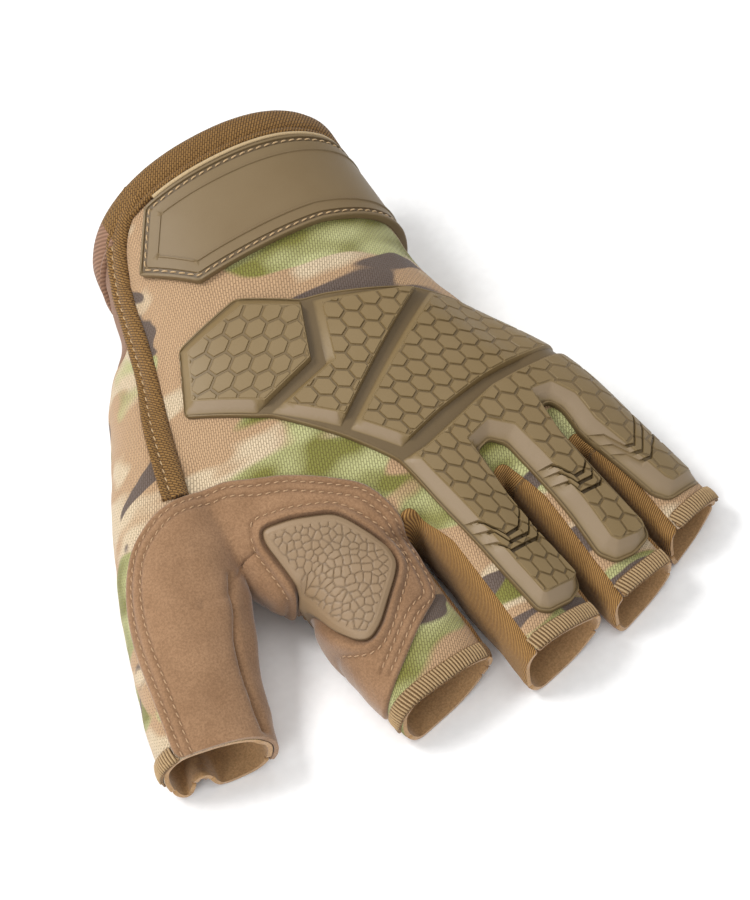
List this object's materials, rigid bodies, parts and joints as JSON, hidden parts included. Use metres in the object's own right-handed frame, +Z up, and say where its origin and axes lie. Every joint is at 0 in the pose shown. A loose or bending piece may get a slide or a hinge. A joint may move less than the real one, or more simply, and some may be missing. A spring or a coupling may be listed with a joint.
{
  "type": "fingerless tactical glove",
  "caption": "Left-hand fingerless work glove lying palm down, with moulded knuckle guard, suede palm and thumb patch, bound cuff and closure tab.",
  "frame": {"origin": "middle of the bounding box's base, on the surface that the palm lies on", "axes": "+Z up from the surface, fingers towards -Y, wrist opening towards +Y, thumb towards -X"},
  "size_m": [0.177, 0.1754, 0.0546],
  "materials": {
    "camouflage_fabric": "woven cloth printed in tan, sand green, olive and grey brown patches",
    "suede": "brown synthetic suede with a fine nap",
    "twill": "brown stretch twill with fine diagonal ribs",
    "binding_tape": "dark brown knitted binding tape",
    "guard_rubber": "moulded rubber, khaki brown, satin",
    "pad_rubber": "moulded rubber with fine raised cells, satin"
  },
  "bodies": {
    "root": {"palm": "suede", "back_panel": "camouflage_fabric", "side_gusset": "camouflage_fabric", "wrist_underlap": "suede", "fourchette_index_middle": "twill", "fourchette_middle_ring": "twill", "fourchette_ring_little": "twill", "edge_binding": "binding_tape", "thumb_patch": "suede", "saddle_pad": "pad_rubber", "knuckle_guard": "guard_rubber", "cuff_tab": "guard_rubber", "thumb_hem": "camouflage_fabric", "index_hem": "camouflage_fabric", "middle_hem": "camouflage_fabric", "ring_hem": "camouflage_fabric", "little_hem": "camouflage_fabric"}
  },
  "joints": []
}
